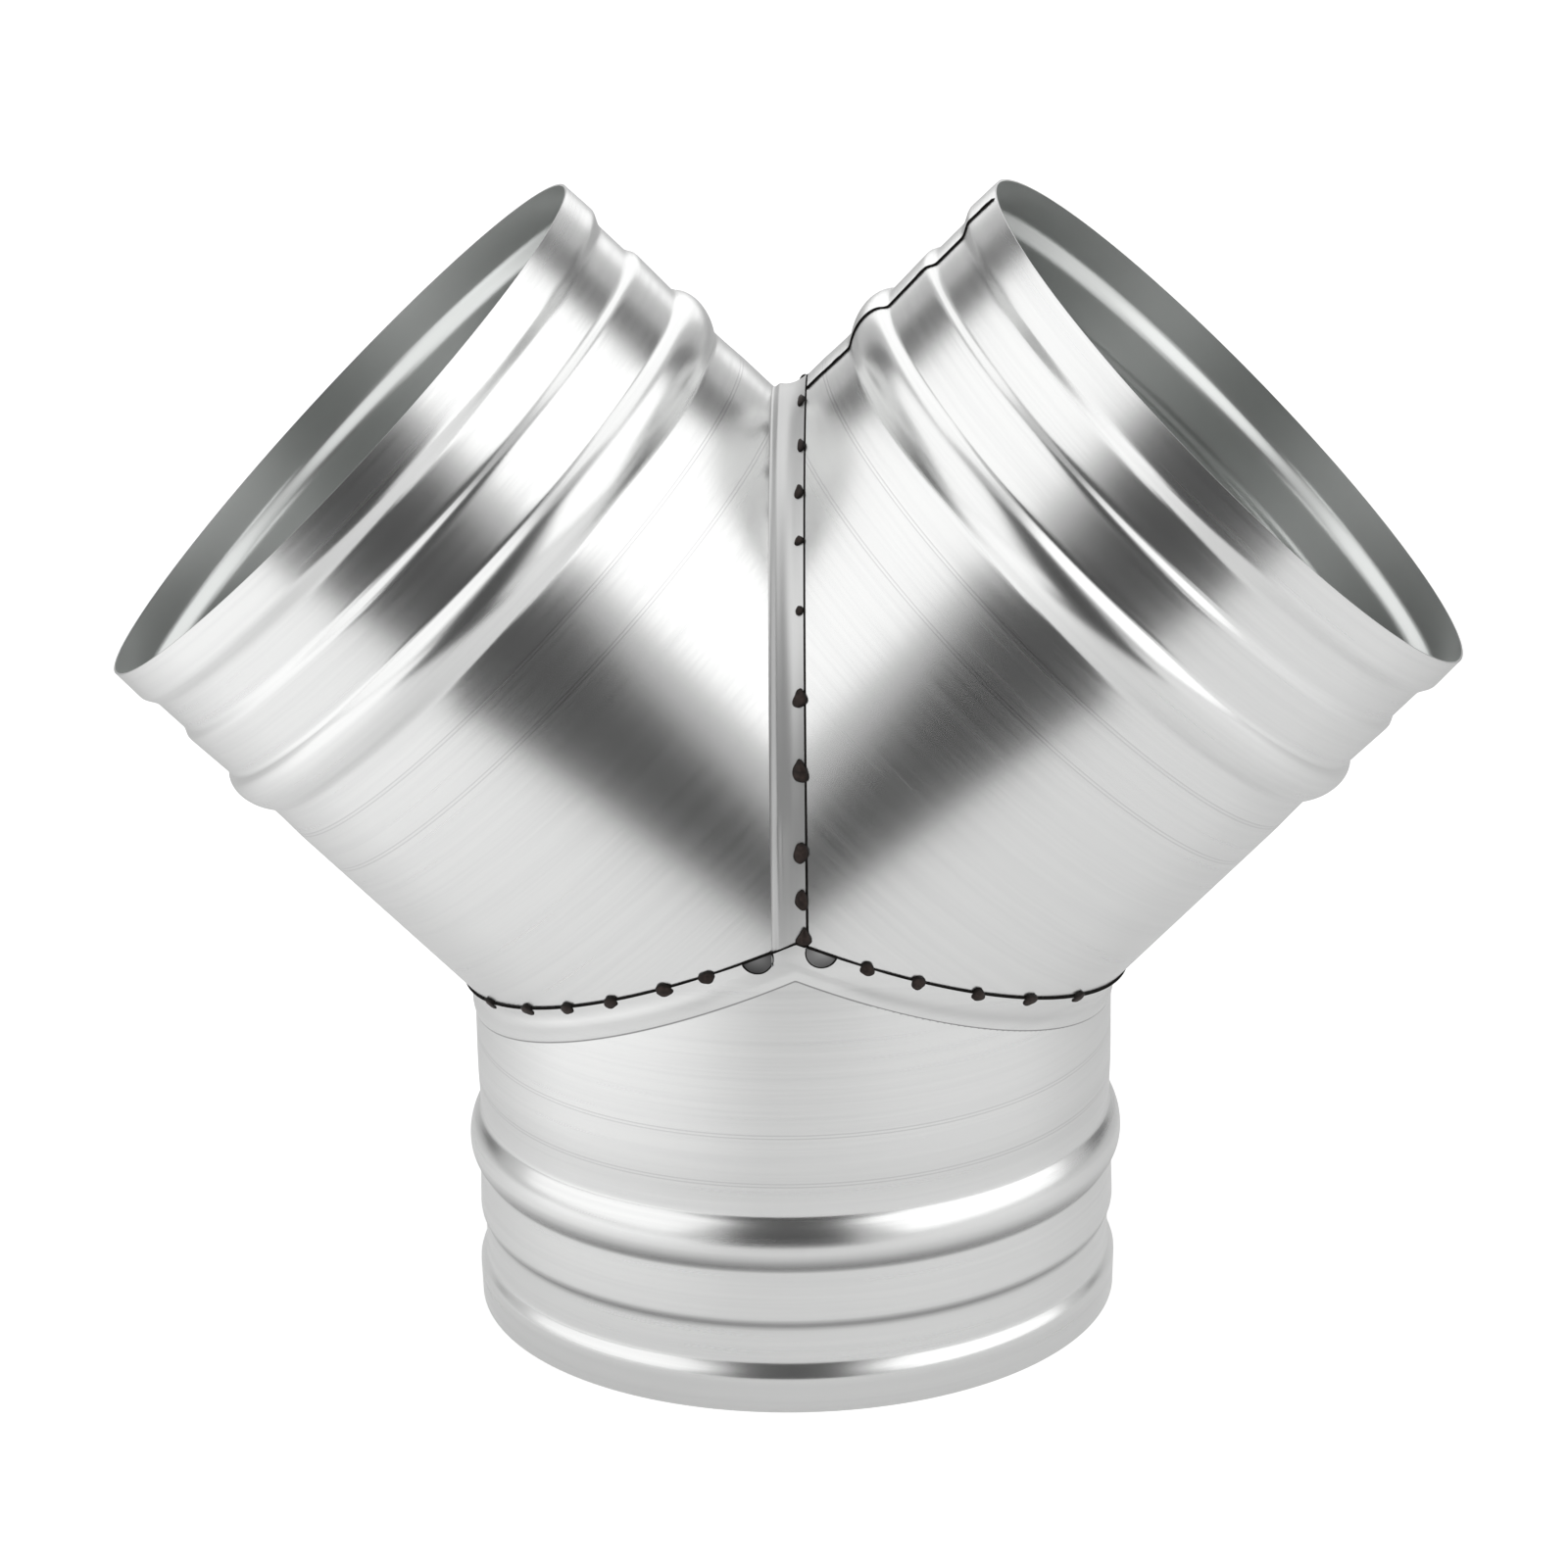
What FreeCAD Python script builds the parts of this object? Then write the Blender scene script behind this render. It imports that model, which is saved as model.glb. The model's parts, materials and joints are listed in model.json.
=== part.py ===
"""Sheet-metal duct splitter: one round trunk sleeve that divides into two branches at 45 degrees.

Three rolled sleeves of galvanised sheet meet on mitre planes. The left branch folds over the right
one at the throat, and the trunk's collar laps both branches. Small tack welds hold every lap.
The origin is the centre of the trunk's rim, +Z is up the trunk and the branches spread along X.
"""
import FreeCAD, Part
import math
import os
from FreeCAD import Placement, Rotation, Vector

# Duct and sheet, millimetres and degrees
sheet = 0.6                   # thickness of the galvanised sheet
sleeve_radius = 78.7          # outside of a plain sleeve; its rim band then slides into a 160 mm duct
branch_angle = 45.0           # lean of each branch from the trunk's axis
trunk_length = 116.0          # trunk rim to the point where the three axes meet
branch_length = 151.0         # branch rim to that same point

# Ring pattern rolled into each sleeve, in order from the rim
rim_band_length = 8.6
rim_band_rise = 0.8           # above the plain sleeve
groove_wall = 3.4             # length of the slope into the groove
groove_depth = 0.7            # below the plain sleeve
guide_length = 24.6           # the band that rises from the groove to the bead
guide_rise = 0.35             # its height at the bead, above the plain sleeve
bead_width = 14.0             # the stop bead, that the next duct butts against
bead_height = 2.8
bead_flats = 3                # flats that the bead's round back is rolled in

# Seam where the left branch laps the right one at the throat
throat_fold = 3.0             # fold line of the lap, left of the middle plane
throat_lap = 5.3              # edge of the lap, right of the middle plane

# Collar of the trunk over the two branches, square to each mitre plane
left_crease = 6.0             # crease below the left mitre
right_crease = 4.0
left_lip = 2.8                # edge of the collar above the left mitre
right_lip = 4.8
tongue_gap = 0.3              # between a tucked-in tongue and the fold that covers it
notch_radius = 3.6            # half-round cut-outs in the collar's front edge
left_notch = -6.1             # places of the two cut-outs along X
right_notch = 8.6

# Lengthwise lap of each rolled sleeve: where its edge lies, and how wide it is
lap_width = 12.0
slit_width = 0.5              # groove left between the outer edge and the joggle of the inner one
right_lap_angle = 4.0         # from the throat line towards the front
left_lap_angle = -22.0        # behind the throat line, out of sight
trunk_lap_angle = 0.0         # from the middle of the back

# Tack welds: size and places round each seam, as angles from the front or from the throat line
tack_radius = 1.5
tack_height = 0.5
tack_sides = 6
tack_slope = 0.9              # how much wider a tack is at its foot than at its top
tack_growth = 0.35            # how much larger the throat's lowest tack is than its highest
knot_radius = 2.3             # the tack where the three sheets meet
left_tack_angles = (13.0, 20.0, 30.0, 39.0, 49.0, 62.0)
right_tack_angles = (14.0, 23.0, 34.0, 46.0, 61.0)
throat_tack_angles = (9.0, 21.0, 30.5, 38.5, 49.0, 61.0, 70.0, 79.5, 85.5)
lap_tack_places = (3.5, 26.0, 54.5)   # distances from the rim
lap_tack_height = 0.25        # low enough for a duct's end to slide over

# Worked out from the sizes above
SPAN = 4 * (branch_length + sleeve_radius)     # larger than the whole part
overrun = 1.5 * sleeve_radius   # how far a sleeve is rolled past the meeting point before its mitres are cut
LEFT = -1
RIGHT = 1
lean = math.radians(branch_angle)
meeting = Vector(0, 0, trunk_length)
lap_angle = math.degrees(lap_width / sleeve_radius)
slit_angle = math.degrees(slit_width / sleeve_radius)
joggle_angle = math.degrees(sheet / sleeve_radius)
bead_radius = (bead_width ** 2 / 4 + bead_height ** 2) / (2 * bead_height)
bead_half_turn = math.asin(bead_width / 2 / bead_radius)


def branch_axis(side):
    """Unit vector from the meeting point out along a branch."""
    return Vector(side * math.sin(lean), 0, math.cos(lean))


def throat_direction(side):
    """Unit vector square to a branch's axis, towards the throat."""
    return Vector(-side * math.cos(lean), 0, math.sin(lean))


def mitre_normal(side):
    """Unit normal of a branch's mitre with the trunk, on the branch's side."""
    return Vector(side * math.sin(lean / 2), 0, math.cos(lean / 2))


def under(point, normal):
    """Block that fills the space behind a plane."""
    block = Part.makeBox(SPAN, SPAN, SPAN, Vector(-SPAN / 2, -SPAN / 2, -SPAN))
    block.Placement = Placement(point, Rotation(Vector(0, 0, 1), normal))
    return block


def under_mitre(side, offset=0.0):
    """Block under one mitre plane, moved towards the branch by the offset."""
    normal = mitre_normal(side)
    return under(meeting + normal * offset, normal)


def under_roof(left_offset, right_offset):
    """Ridge-shaped block under both mitre planes, each moved by its own offset."""
    return under_mitre(LEFT, left_offset).common(under_mitre(RIGHT, right_offset))


def slab(x_low, x_high):
    """Block between two upright planes square to X."""
    return Part.makeBox(x_high - x_low, SPAN, SPAN, Vector(x_low, -SPAN / 2, -SPAN / 2))


def ring(axis, inner, outer):
    """Plain tube about an axis through the meeting point."""
    start = meeting - axis * branch_length
    length = 2 * branch_length
    tube = Part.makeCylinder(outer, length, start, axis)
    return tube.cut(Part.makeCylinder(inner, length, start, axis))


def collar_outline(length):
    """Outer line of a sleeve from its rim, as corners of distance from the rim and radius."""
    groove_bottom = rim_band_length + groove_wall
    bead_start = groove_bottom + guide_length
    line = [
        (0.0, sleeve_radius + rim_band_rise),
        (rim_band_length, sleeve_radius + rim_band_rise),
        (groove_bottom, sleeve_radius - groove_depth),
        (bead_start, sleeve_radius + guide_rise),
    ]
    for corner in range(1, bead_flats):
        turn = bead_half_turn * (2 * corner / bead_flats - 1)
        rise = bead_height - bead_radius * (1 - math.cos(turn))
        line.append((bead_start + bead_width / 2 + bead_radius * math.sin(turn), sleeve_radius + rise))
    return line + [(bead_start + bead_width, sleeve_radius), (length, sleeve_radius)]


def moved_outline(outline, shift):
    """The same line moved square to itself, outwards for a positive shift."""
    lines = []
    for (z0, r0), (z1, r1) in zip(outline, outline[1:]):
        run = math.hypot(z1 - z0, r1 - r0)
        lines.append((z0 - shift * (r1 - r0) / run, r0 + shift * (z1 - z0) / run, z1 - z0, r1 - r0))
    moved = [(outline[0][0], lines[0][1])]
    for before, after in zip(lines, lines[1:]):
        cross = before[2] * after[3] - before[3] * after[2]
        along = ((after[0] - before[0]) * after[3] - (after[1] - before[1]) * after[2]) / cross
        moved.append((before[0] + along * before[2], before[1] + along * before[3]))
    return moved + [(outline[-1][0], lines[-1][1])]


def profile_face(inner, outer):
    """Flat face in the XZ plane between two lines of corners."""
    corners = list(outer) + list(reversed(inner))
    points = [Vector(radius, 0, distance) for distance, radius in corners]
    return Part.Face(Part.makePolygon(points + points[:1]))


def turned(face, start_angle, sweep):
    """Solid from a profile turned about Z, from one angle through a sweep."""
    placed = face.copy()
    placed.rotate(Vector(0, 0, 0), Vector(0, 0, 1), start_angle)
    return placed.revolve(Vector(0, 0, 0), Vector(0, 0, 1), sweep)


def rolled_sleeve(length, edge_angle, lap_sign):
    """Rolled sheet tube with its ring pattern and its lengthwise lap, rim at z = 0.

    Past the sheet's outer edge, on the side of the sign, it lies over the inner edge. On the other
    side a slit shows the inner edge, which then joggles out to be the outer layer of the tube.
    """
    outer = collar_outline(length)
    single = profile_face(moved_outline(outer, -sheet), outer)
    double = profile_face(moved_outline(outer, -2 * sheet), outer)
    inner_layer = profile_face(moved_outline(outer, -2 * sheet), moved_outline(outer, -sheet))
    joggle_start = edge_angle - lap_sign * (slit_angle + joggle_angle)
    rest = 360 - lap_angle - slit_angle - joggle_angle
    return turned(single, edge_angle + lap_sign * lap_angle, lap_sign * rest).fuse([
        turned(double, edge_angle, lap_sign * lap_angle),
        turned(inner_layer, edge_angle - lap_sign * slit_angle, lap_sign * slit_angle),
        turned(double, joggle_start, lap_sign * joggle_angle),
    ])


def on_branch(shape, side):
    """Place what was made with a sleeve's rim at z = 0 on a branch.

    Its own X then points to the throat, and its own Y to the back on the right and the front on the left.
    """
    axis = branch_axis(side)
    throat = throat_direction(side)
    back = (axis * -1).cross(throat)
    turn = FreeCAD.Matrix(
        throat.x, back.x, -axis.x, meeting.x + axis.x * branch_length,
        throat.y, back.y, -axis.y, meeting.y + axis.y * branch_length,
        throat.z, back.z, -axis.z, meeting.z + axis.z * branch_length,
        0, 0, 0, 1)
    placed = shape.copy()
    placed.Placement = Placement(turn)
    return placed


def tongue_into_trunk(side):
    """End of a branch's sheet that is turned down inside the trunk's collar."""
    plain = ring(Vector(0, 0, 1), sleeve_radius - sheet, sleeve_radius)
    half = slab(0, SPAN) if side == RIGHT else slab(-SPAN, 0)
    floor = under_roof(sheet + tongue_gap - left_crease, sheet + tongue_gap - right_crease)
    return plain.common(under_mitre(side)).common(half).cut(floor)


def left_branch():
    """Left sleeve, with the fold that laps the right branch at the throat."""
    tube = rolled_sleeve(branch_length + overrun, -LEFT * left_lap_angle, LEFT)
    body = on_branch(tube, LEFT).cut(under_mitre(LEFT)).common(slab(-SPAN, sheet - throat_fold))
    band = ring(branch_axis(LEFT), sleeve_radius, sleeve_radius + sheet)
    own_side = band.cut(under_mitre(LEFT)).common(slab(-throat_fold, 0)).cut(under_roof(left_lip, right_lip))
    over = ring(branch_axis(RIGHT), sleeve_radius, sleeve_radius + sheet)
    far_side = over.cut(under_mitre(RIGHT)).common(slab(0, throat_lap)).cut(under_roof(left_lip, right_lip))
    return body.fuse([own_side, far_side, tongue_into_trunk(LEFT)]).removeSplitter()


def right_branch():
    """Right sleeve, with the tongue that tucks under the left branch's fold."""
    tube = rolled_sleeve(branch_length + overrun, -RIGHT * right_lap_angle, RIGHT)
    body = on_branch(tube, RIGHT).cut(under_mitre(RIGHT)).common(slab(0, SPAN))
    tongue = ring(branch_axis(LEFT), sleeve_radius - sheet, sleeve_radius).cut(under_mitre(LEFT))
    tongue = tongue.common(slab(sheet + tongue_gap - throat_fold, 0))
    closed_slit = ring(branch_axis(RIGHT), sleeve_radius - sheet, sleeve_radius).cut(under_mitre(RIGHT))
    closed_slit = closed_slit.common(slab(0, throat_lap / 2))
    return body.fuse([tongue, closed_slit, tongue_into_trunk(RIGHT)]).removeSplitter()


def notch(x_place):
    """Cutter for a half-round cut-out centred on the collar's front edge."""
    side = LEFT if x_place < 0 else RIGHT
    lip = left_lip if side == LEFT else right_lip
    normal = mitre_normal(side)
    height = trunk_length + (lip - normal.x * x_place) / normal.z
    return Part.makeCylinder(notch_radius, sleeve_radius, Vector(x_place, -sleeve_radius / 2, height), Vector(0, -1, 0))


def trunk_sleeve():
    """Trunk sleeve with its collar, which laps the ends of both branches."""
    tube = rolled_sleeve(trunk_length, 90 + trunk_lap_angle, 1)
    body = tube.common(under_roof(sheet - left_crease, sheet - right_crease))
    band = ring(Vector(0, 0, 1), sleeve_radius, sleeve_radius + sheet)
    band = band.common(under_roof(0, 0)).cut(under_roof(-left_crease, -right_crease))
    pieces = [band]
    for side, half in ((LEFT, slab(-SPAN, 0)), (RIGHT, slab(0, SPAN))):
        lip = ring(branch_axis(side), sleeve_radius, sleeve_radius + sheet)
        pieces.append(lip.cut(under_mitre(side)).common(half).common(under_roof(left_lip, right_lip)))
    sleeve = body.fuse(pieces).removeSplitter()
    for place in (left_notch, right_notch):
        sleeve = sleeve.cut(notch(place))
    return sleeve


def frustum(foot, top, height):
    """Block with flat sides that narrows upwards from z = 0."""
    low = []
    high = []
    for corner in range(tack_sides + 1):
        turn = 2 * math.pi * corner / tack_sides
        low.append(Vector(foot * math.cos(turn), foot * math.sin(turn), 0))
        high.append(Vector(top * math.cos(turn), top * math.sin(turn), height))
    faces = [Part.Face(Part.makePolygon(low)), Part.Face(Part.makePolygon(high))]
    for side in range(tack_sides):
        corners = [low[side], low[side + 1], high[side + 1], high[side], low[side]]
        faces.append(Part.Face(Part.makePolygon(corners)))
    return Part.makeSolid(Part.makeShell(faces))


def tack(place, outward, radius, lapping, height=tack_height):
    """Low weld, seated on the sheet at the place and on what laps that sheet inside the given blocks."""
    weld = frustum(radius + tack_slope, radius, 2 * sheet + height)
    weld.Placement = Placement(place - outward * sheet, Rotation(Vector(0, 0, 1), outward))
    weld = weld.cut(under(place, outward))
    for block in lapping:
        weld = weld.cut(under(place + outward * sheet, outward).common(block))
    return weld


def front_and_back(place, outward, radius, lapping):
    """A weld and its mirror image at the back."""
    mirrored_place = Vector(place.x, -place.y, place.z)
    mirrored_outward = Vector(outward.x, -outward.y, outward.z)
    return [tack(place, outward, radius, lapping), tack(mirrored_place, mirrored_outward, radius, lapping)]


def collar_tacks(side, lip, angles):
    """Welds along the trunk collar's edge over one branch, at angles from the front and the back."""
    axis = branch_axis(side)
    collar = under_mitre(side, lip)
    welds = []
    for angle in angles:
        across = sleeve_radius * math.sin(math.radians(angle))
        deep = sleeve_radius * math.cos(math.radians(angle))
        on_mitre = Vector(side * across, -deep, -across * math.tan(lean / 2))
        outward = (on_mitre - axis * on_mitre.dot(axis)).normalize()
        place = meeting + on_mitre + axis * (lip / math.cos(lean / 2))
        welds += front_and_back(place, outward, tack_radius, [collar])
    return welds


def throat_place(angle):
    """Place on the throat lap's edge, at an angle round the right branch from the throat line to the front."""
    axis = branch_axis(RIGHT)
    turn = math.radians(angle)
    outward = throat_direction(RIGHT) * math.cos(turn) - Vector(0, math.sin(turn), 0)
    along = (throat_lap - sleeve_radius * outward.x) / axis.x
    return meeting + axis * along + outward * sleeve_radius, outward


def knot_angle():
    """Angle round the right branch at which the throat lap's edge runs into the collar's edge."""
    normal = mitre_normal(RIGHT)
    height = (right_lip - normal.x * throat_lap) / normal.z
    toward_throat = height * math.sin(lean) - throat_lap * math.cos(lean)
    return math.degrees(math.acos(toward_throat / sleeve_radius))


def throat_tacks():
    """Welds along the throat lap, growing downwards, and the knot at each end where three sheets meet."""
    fold = slab(-SPAN, throat_lap)
    welds = []
    for angle in throat_tack_angles:
        size = tack_radius * (1 + tack_growth * (angle / 90 - 0.5))
        welds += front_and_back(*throat_place(angle), size, [fold])
    return welds + front_and_back(*throat_place(knot_angle()), knot_radius, [fold, under_mitre(RIGHT, right_lip)])


def lap_tacks(edge_angle):
    """Welds along a sleeve's lengthwise lap, made like the sleeve with the rim at z = 0."""
    turn = math.radians(edge_angle)
    radial = Vector(math.cos(turn), math.sin(turn), 0)
    outline = collar_outline(trunk_length)
    welds = []
    for distance in lap_tack_places:
        for (z0, r0), (z1, r1) in zip(outline, outline[1:]):
            if z0 <= distance < z1:
                slope = (r1 - r0) / (z1 - z0)
                outward = (radial - Vector(0, 0, slope)).normalize()
                edge = radial * (r0 + slope * (distance - z0)) + Vector(0, 0, distance)
                place = edge - outward * sheet
                welds.append(tack(place, outward, tack_radius, [slab(-SPAN, SPAN)], lap_tack_height))
    return welds


def main():
    os.makedirs("parts", exist_ok=True)
    collar_welds = collar_tacks(LEFT, left_lip, left_tack_angles)
    collar_welds += collar_tacks(RIGHT, right_lip, right_tack_angles)
    lap_welds = lap_tacks(90 + trunk_lap_angle)
    lap_welds += [on_branch(weld, LEFT) for weld in lap_tacks(-LEFT * left_lap_angle)]
    fold = ring(branch_axis(RIGHT), sleeve_radius, sleeve_radius + sheet).common(slab(0, throat_lap))
    lap_welds += [on_branch(weld, RIGHT).cut(fold) for weld in lap_tacks(-RIGHT * right_lap_angle)]
    nodes = {
        "trunk_sleeve": trunk_sleeve(),
        "left_branch": left_branch(),
        "right_branch": right_branch(),
        "collar_tack_welds": Part.Compound(collar_welds),
        "throat_tack_welds": Part.Compound(throat_tacks()),
        "lap_tack_welds": Part.Compound(lap_welds),
    }
    for name, shape in nodes.items():
        shape.exportStep("parts/" + name + ".step")
        print(name, shape.isValid(), len(shape.Solids), round(shape.Volume, 2), len(shape.Faces))


main()
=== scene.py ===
"""Duct splitter: the shown sheets, seams, tack welds and studio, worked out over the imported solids."""
import json
import math

import bpy
import numpy as np
from bpy.props import FloatProperty, FloatVectorProperty, IntProperty, PointerProperty
from mathutils import Matrix, Vector


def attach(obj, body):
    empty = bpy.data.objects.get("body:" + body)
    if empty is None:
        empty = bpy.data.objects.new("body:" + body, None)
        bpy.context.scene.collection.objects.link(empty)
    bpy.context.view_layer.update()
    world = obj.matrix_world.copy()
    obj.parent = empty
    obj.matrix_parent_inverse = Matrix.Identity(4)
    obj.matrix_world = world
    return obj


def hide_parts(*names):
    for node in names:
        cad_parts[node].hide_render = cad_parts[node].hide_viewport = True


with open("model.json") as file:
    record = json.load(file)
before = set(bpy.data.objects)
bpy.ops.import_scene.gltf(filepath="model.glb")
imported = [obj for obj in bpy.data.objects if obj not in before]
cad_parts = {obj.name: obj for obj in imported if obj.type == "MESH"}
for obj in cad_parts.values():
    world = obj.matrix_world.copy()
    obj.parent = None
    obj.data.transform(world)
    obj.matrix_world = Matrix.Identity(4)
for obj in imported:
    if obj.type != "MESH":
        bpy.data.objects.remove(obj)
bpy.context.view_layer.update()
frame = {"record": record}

bl_info = {
    "name": "Duct Splitter",
    "version": (1, 0, 0),
    "blender": (4, 5, 0),
    "location": "3D View > Sidebar > Duct",
    "description": "Rolled sheet sleeves, lapped mitre seams and tack welds of a duct splitter",
    "category": "Add Mesh",
}

# Places that follow from the frame, in millimetres as all sizes of the sheets are
MM = 0.001
LEFT = -1
RIGHT = 1
SPIGOT = next(mount for mount in frame["record"]["mounts"] if mount["name"] == "right_spigot")
BRANCH_LEAN = math.atan2(SPIGOT["axis"][0], SPIGOT["axis"][2])
SIN_LEAN = math.sin(BRANCH_LEAN)
COS_LEAN = math.cos(BRANCH_LEAN)
COS_HALF = math.cos(BRANCH_LEAN / 2)
TAN_HALF = math.tan(BRANCH_LEAN / 2)
DIAGONAL = 1 / SIN_LEAN
MEETING_HEIGHT = (SPIGOT["pos_m"][2] - SPIGOT["pos_m"][0] / math.tan(BRANCH_LEAN)) / MM
MEETING = np.array([0, 0, MEETING_HEIGHT])
BRANCH_LENGTH = SPIGOT["pos_m"][0] / MM / SIN_LEAN + SPIGOT["dims"]["length_mm"] / 2

# Distances from the rim of the grids' rows, closer together where the rings bend
RING_ROWS = np.concatenate([np.array([0.0, 0.35]), np.arange(1.0, 56.0, 0.7), np.array([58.0, 60.0])])
# Half width along X of the middle part, where the trunk's columns fan out to the collar's edge
FAN_REACH = 20.0
# A lengthwise lap's line: its start, from the rim, and how many points it has
LAP_START = 0.3
LAP_POINTS = 90
# Places on the sheet's own map, in metres: lines scribed round a sleeve, and the throat's fold, clear of it
SCRIBED_LINES = (0.0600, 0.0608, 0.0724, 0.0732)
FOLD_MAP = 1.0


def number(label, description, default, **limits):
    """Setting with one number."""
    return FloatProperty(name=label, description=description, default=default, **limits)


def colour(label, description, default):
    """Setting with one colour."""
    return FloatVectorProperty(name=label, description=description, subtype="COLOR", default=default)


class DuctSheets(bpy.types.PropertyGroup):
    """Sizes of the rolled sheets, in millimetres"""
    sleeve_radius: number("Sleeve radius", "Outside of a plain sleeve", 78.7)
    sheet: number("Sheet", "Thickness of the zinc-coated sheet", 0.6)
    rim_rise: number("Rim rise", "Rim band above the plain sleeve", 0.8)
    groove_depth: number("Groove depth", "Groove below the plain sleeve", 0.75)
    guide_rise: number("Guide rise", "Guide band above the plain sleeve", 0.45)
    bead_height: number("Bead height", "Stop bead above the plain sleeve", 2.58)
    bead_width: number("Bead width", "Width of the stop bead at its foot", 12.9)
    bead_start: number("Bead start", "Distance from the rim to the stop bead", 36.9)
    bead_skew: number("Bead skew", "Below 1, the bead's crown is nearer the rim", 0.8)
    bend: number("Bend", "Width over which each corner is rounded", 1.0)
    columns: IntProperty(name="Columns", description="Faces round each sleeve", default=352)


class DuctSeams(bpy.types.PropertyGroup):
    """Sizes of the lapped seams and their tack welds, in millimetres and degrees"""
    left_crease: number("Left crease", "Collar's crease below the left mitre", 6.0)
    right_crease: number("Right crease", "Collar's crease below the right mitre", 4.0)
    left_lip: number("Left lip", "Collar's edge above the left mitre", 2.6)
    right_lip: number("Right lip", "Collar's edge above the right mitre", 4.8)
    fold: number("Fold", "Start of the throat's fold, left of the middle", 2.8)
    fold_ramp: number("Fold ramp", "Width over which the fold rises", 2.0)
    fold_height: number("Fold height", "Crown of the fold above the sleeve", 0.8)
    fold_pressed: number("Fold pressed", "How far the fold's edge is pressed down", 0.62)
    throat_lap: number("Throat lap", "Edge of the throat's fold, right of it", 5.3)
    crotch_bend: number("Crotch bend", "Half width of the rounded crotch", 3.0)
    notch_radius: number("Notch radius", "Half-round cut-outs of the collar", 3.8)
    left_notch: number("Left notch", "Place of the left cut-out along X", -6.3)
    right_notch: number("Right notch", "Place of the right cut-out along X", 8.8)
    # Width of the near black painted shade line along a cut edge.
    line_width: number("Line width", "Dark line along a cut edge", 0.5)
    tack_length: number("Tack length", "Half length of a collar's tack weld", 2.05)
    tack_width: number("Tack width", "Half width of a collar's tack weld", 1.6)
    tack_height: number("Tack height", "Tack weld above its sheet", 0.55)
    right_lap_angle: number("Right lap", "Right lap, from the throat forwards", 4.0)
    left_lap_angle: number("Left lap", "Left lap, from the throat forwards", -22.0)


class DuctFinish(bpy.types.PropertyGroup):
    """Colours and gloss of the finishes"""
    zinc: colour("Zinc", "Brushed zinc", (0.71, 0.713, 0.708))
    zinc_dull: colour("Dull zinc", "Zinc in brush lines", (0.69, 0.693, 0.69))
    inside: colour("Inside zinc", "Duller zinc on the inside", (0.6, 0.614, 0.605))
    weld: colour("Weld", "Oxidised weld", (0.04, 0.0275, 0.0235))
    # Colour of the painted shade along the cut edges and laps.
    line: colour("Edge line", "Cut edge in its own shade", (0.006, 0.0055, 0.005))
    roughness: number("Roughness", "Gloss of the brushed zinc", 0.255, min=0, max=1)
    fold_roughness: number("Fold roughness", "Gloss of the worked fold", 0.44, min=0, max=1)
    inside_roughness: number("Inside roughness", "Gloss of the duller inside", 0.33, min=0, max=1)


class DuctStudio(bpy.types.PropertyGroup):
    """Floor, lamps and camera of the stage"""
    floor: colour("Floor", "Pale floor", (0.66, 0.66, 0.66))
    floor_glow: number("Floor glow", "White that the floor shows by itself", 0.57)
    far_glow: number("Far glow", "The same far away from the fitting", 0.7)
    # Painted light: the floor's own white in the metal is brighter on the left and darker in the middle, for
    # the softboxes' light across it.
    left_painted_light: number("Left glow", "Floor's own white in the metal, on the left", 0.73)
    middle_painted_light: number("Middle glow", "The same in the middle", 0.25)
    right_painted_light: number("Right glow", "The same on the right", 0.33)
    left_lamp: number("Left lamp", "Brightness of the left softbox", 0.72)
    right_lamp: number("Right lamp", "Brightness of the right softbox", 0.95)
    sky: number("Sky", "Light of the room on matt surfaces", 0.68)
    room: number("Room", "Brightness of the room in the metal", 0.656)
    dark: number("Dark room", "Brightness of the unlit room in front", 0.075)
    gap: number("Gap", "Brightness of the gaps behind the softboxes", 0.16)
    ceiling: number("Ceiling", "Brightness of the white ceiling and back wall", 1.4)
    lens: number("Lens", "Focal length for a 36 mm sensor", 123.78)


def rounded_step(value):
    """Smooth step: 3v squared less 2v cubed, for v held between 0 and 1."""
    held = np.clip(value, 0.0, 1.0)
    return held * held * (3 - 2 * held)


def rounded_corner(across, half):
    """Distance from a corner line, with a parabola in place of the corner over its half width."""
    return np.where(np.abs(across) < half, (across * across / half + half) / 2, np.abs(across))


def ring_rise(sheets, distance):
    """Height of the rolled rings above the plain sleeve, at distances from the rim.

    Straight bands between named corners, plus a circular arc for the stop bead with its crown pulled
    towards the rim by a power, averaged twice over the width of a bend so that each corner is round.
    """
    bead_end = sheets.bead_start + sheets.bead_width
    corners = [(-5, sheets.rim_rise - 0.1), (0, sheets.rim_rise - 0.1), (8.8, sheets.rim_rise + 0.15),
               (12.0, -sheets.groove_depth), (21.3, -sheets.groove_depth), (23.3, sheets.guide_rise),
               (sheets.bead_start, 0.1), (bead_end, -0.35), (bead_end + 4, -0.3), (bead_end + 11, 0),
               (400, 0)]
    step = 0.1
    fine = np.arange(-5, 400, step)
    rise = np.interp(fine, *zip(*corners))
    arc_radius = (sheets.bead_width ** 2 / 4 + sheets.bead_height ** 2) / (2 * sheets.bead_height)
    share = np.clip((fine - sheets.bead_start) / sheets.bead_width, 0, 1)
    off_middle = (share ** sheets.bead_skew - 0.5) * sheets.bead_width
    arc = np.sqrt(np.maximum(arc_radius ** 2 - off_middle ** 2, 0)) - arc_radius + sheets.bead_height
    rise = rise + np.maximum(arc, 0)
    window = np.ones(int(sheets.bend / step)) / int(sheets.bend / step)
    for _ in range(2):
        rise = np.convolve(rise, window, mode="same")
    return np.interp(distance, fine, rise)


def roof(x, left_offset, right_offset):
    """Height at places along X of the lower of the two mitre planes, each moved by its own offset."""
    left = TAN_HALF * x + left_offset / COS_HALF
    right = -TAN_HALF * x + right_offset / COS_HALF
    return MEETING_HEIGHT + np.minimum(left, right)


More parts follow.
